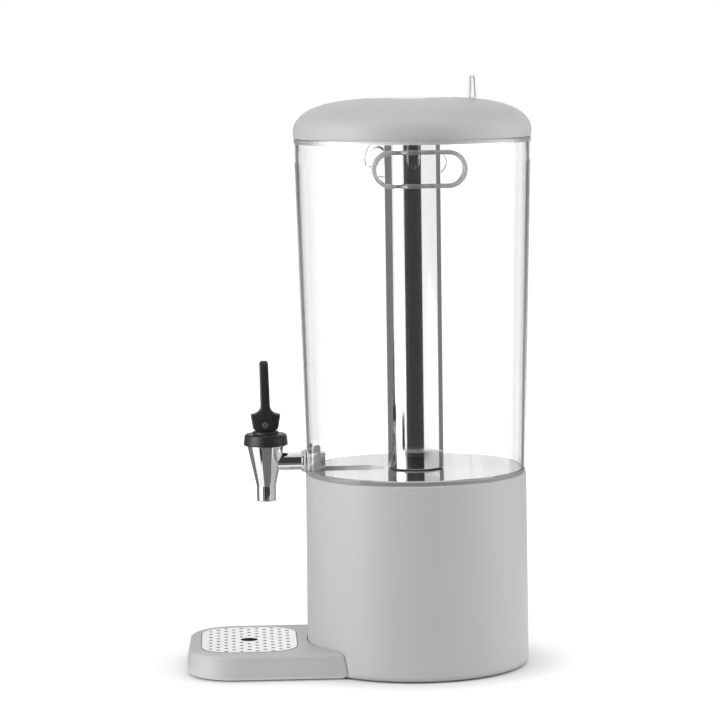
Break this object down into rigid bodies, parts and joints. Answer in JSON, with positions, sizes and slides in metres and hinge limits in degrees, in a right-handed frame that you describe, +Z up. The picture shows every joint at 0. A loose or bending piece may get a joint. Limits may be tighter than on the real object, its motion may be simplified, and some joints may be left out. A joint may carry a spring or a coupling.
{
  "type": "buffet beverage dispenser",
  "caption": "Free-standing beverage dispenser: clear tapered tank with lever tap on a round pedestal, docked drip tray, domed lid and a steel ice tube hanging in the tank.",
  "frame": {"origin": "on the floor, on the pedestal's axis, in the plane of the rubber ring that it stands on", "axes": "+Z up along the tank; the tap and the drip tray point to -X; the grips are on -Y and +Y"},
  "size_m": [0.3207, 0.2354, 0.5387],
  "materials": {
    "grey_plastic": "satin moulded",
    "clear_plastic": "clear, glossy",
    "black_plastic": "satin moulded",
    "chrome": "polished plating",
    "polished_steel": "polished",
    "plain_steel": "plain",
    "rubber": "matte",
    "silicone": "translucent, matte",
    "nut_plastic": "moulded"
  },
  "bodies": {
    "base": {"base_shell": "grey_plastic", "base_pillars": "grey_plastic", "base_plate": "black_plastic", "plate_screws": "plain_steel", "foot_ring": "rubber"},
    "drip_tray": {"drip_tray": "grey_plastic", "tray_feet": "rubber"},
    "drip_grid": {"drip_grid": "polished_steel"},
    "tank": {"tank": "clear_plastic", "tank_floor": "clear_plastic", "front_grip": "clear_plastic", "back_grip": "clear_plastic", "tap_body": "chrome", "outer_washer": "silicone", "inner_washer": "silicone", "tap_nut": "nut_plastic", "bonnet": "black_plastic", "stem_spring": "plain_steel"},
    "valve_stem": {"valve_stem": "plain_steel", "seat_cup": "silicone"},
    "tap_lever": {"tap_lever": "black_plastic", "lever_pin": "plain_steel"},
    "lid": {"lid_shell": "grey_plastic", "lid_liner": "grey_plastic", "liner_screws": "plain_steel", "lid_seal": "silicone", "collar_gasket": "silicone", "label_holder": "clear_plastic"},
    "ice_tube": {"ice_tube": "polished_steel"},
    "ice_cap": {"ice_cap": "polished_steel", "cap_plug": "rubber"}
  },
  "joints": [
    {"name": "tank_lift", "type": "slide", "parent": "base", "child": "tank", "axis": [0, 0, 1], "range_m": [0, 0.08]},
    {"name": "lid_lift", "type": "slide", "parent": "tank", "child": "lid", "axis": [0, 0, 1], "range_m": [0, 0.36]},
    {"name": "ice_tube_lift", "type": "slide", "parent": "lid", "child": "ice_tube", "axis": [0, 0, 1], "range_m": [0, 0.36]},
    {"name": "ice_cap_lift", "type": "slide", "parent": "ice_tube", "child": "ice_cap", "axis": [0, 0, 1], "range_m": [0, 0.06]},
    {"name": "tray_slide", "type": "slide", "parent": "base", "child": "drip_tray", "axis": [-1, 0, 0], "range_m": [0, 0.06]},
    {"name": "grid_lift", "type": "slide", "parent": "drip_tray", "child": "drip_grid", "axis": [0, 0, 1], "range_m": [0, 0.06]},
    {"name": "stem_lift", "type": "slide", "parent": "tank", "child": "valve_stem", "axis": [0, 0, 1], "range_m": [0, 0.00329], "stiffness_N_per_m": 1500, "springref_m": -0.004, "deforming": ["stem_spring"]},
    {"name": "lever_tilt", "type": "hinge", "parent": "valve_stem", "child": "tap_lever", "pos_m": [-0.13719, 0, 0.2232], "axis": [0, -1, 0], "range_deg": [0, 30]}
  ],
  "couplings": [
    {"joint": "lever_tilt", "follows": "stem_lift", "rad_per_m": 159.1}
  ]
}
